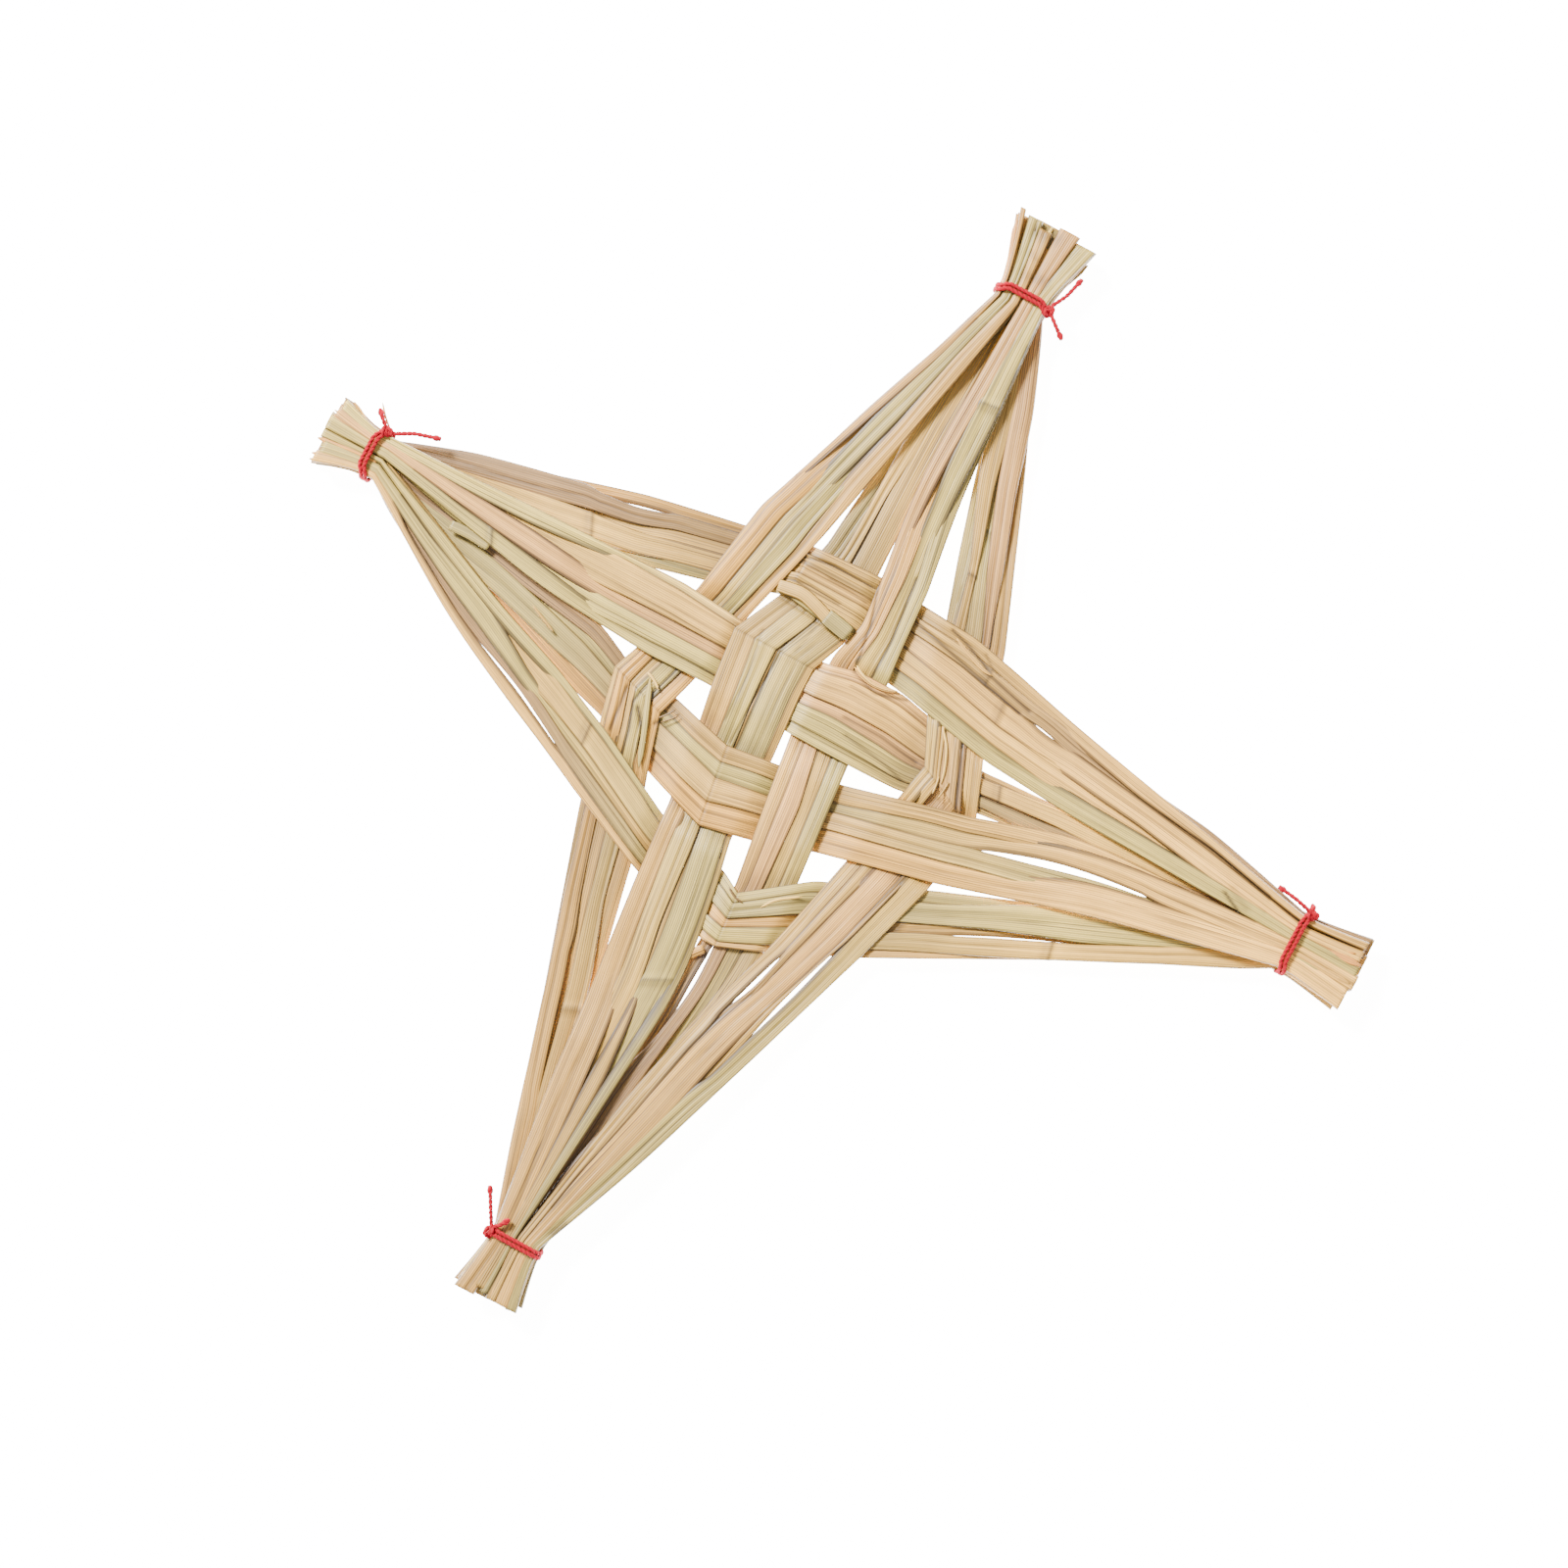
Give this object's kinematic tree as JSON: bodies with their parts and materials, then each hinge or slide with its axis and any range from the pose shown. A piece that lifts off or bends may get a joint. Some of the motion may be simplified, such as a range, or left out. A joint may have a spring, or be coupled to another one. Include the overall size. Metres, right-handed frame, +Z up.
{
  "type": "straw cross",
  "caption": "Flat cross of flattened straws plaited in plain weave, each arm gathered and tied with red thread, with short flared cut ends.",
  "frame": {"origin": "bottom centre of the whole cross as it lies, on the surface under its tied ends", "axes": "+Z up from the surface it lies on, +Y along the short arm a, +X along arm d"},
  "size_m": [0.2872, 0.2976, 0.0127],
  "materials": {
    "straw": "satin",
    "thread": "matte"
  },
  "bodies": {
    "root": {"straw_ac1_1": "straw", "straw_ac1_2": "straw", "straw_ac1_3": "straw", "straw_ac1_4": "straw", "straw_ac1_5": "straw", "straw_ac2_1": "straw", "straw_ac2_2": "straw", "straw_ac2_3": "straw", "straw_ac2_4": "straw", "straw_ac2_5": "straw", "straw_ac3_1": "straw", "straw_ac3_2": "straw", "straw_ac3_3": "straw", "straw_ac3_4": "straw", "straw_ac4_1": "straw", "straw_ac4_2": "straw", "straw_ac4_3": "straw", "straw_ac4_4": "straw", "straw_ac4_5": "straw", "straw_bd1_1": "straw", "straw_bd1_2": "straw", "straw_bd1_3": "straw", "straw_bd1_4": "straw", "straw_bd1_5": "straw", "straw_bd2_1": "straw", "straw_bd2_2": "straw", "straw_bd2_3": "straw", "straw_bd2_4": "straw", "straw_bd2_5": "straw", "straw_bd3_1": "straw", "straw_bd3_2": "straw", "straw_bd3_3": "straw", "straw_bd3_4": "straw", "straw_bd4_1": "straw", "straw_bd4_2": "straw", "straw_bd4_3": "straw", "straw_bd4_4": "straw", "straw_bd4_5": "straw", "tie_a": "thread", "tie_b": "thread", "tie_c": "thread", "tie_d": "thread"}
  },
  "joints": []
}
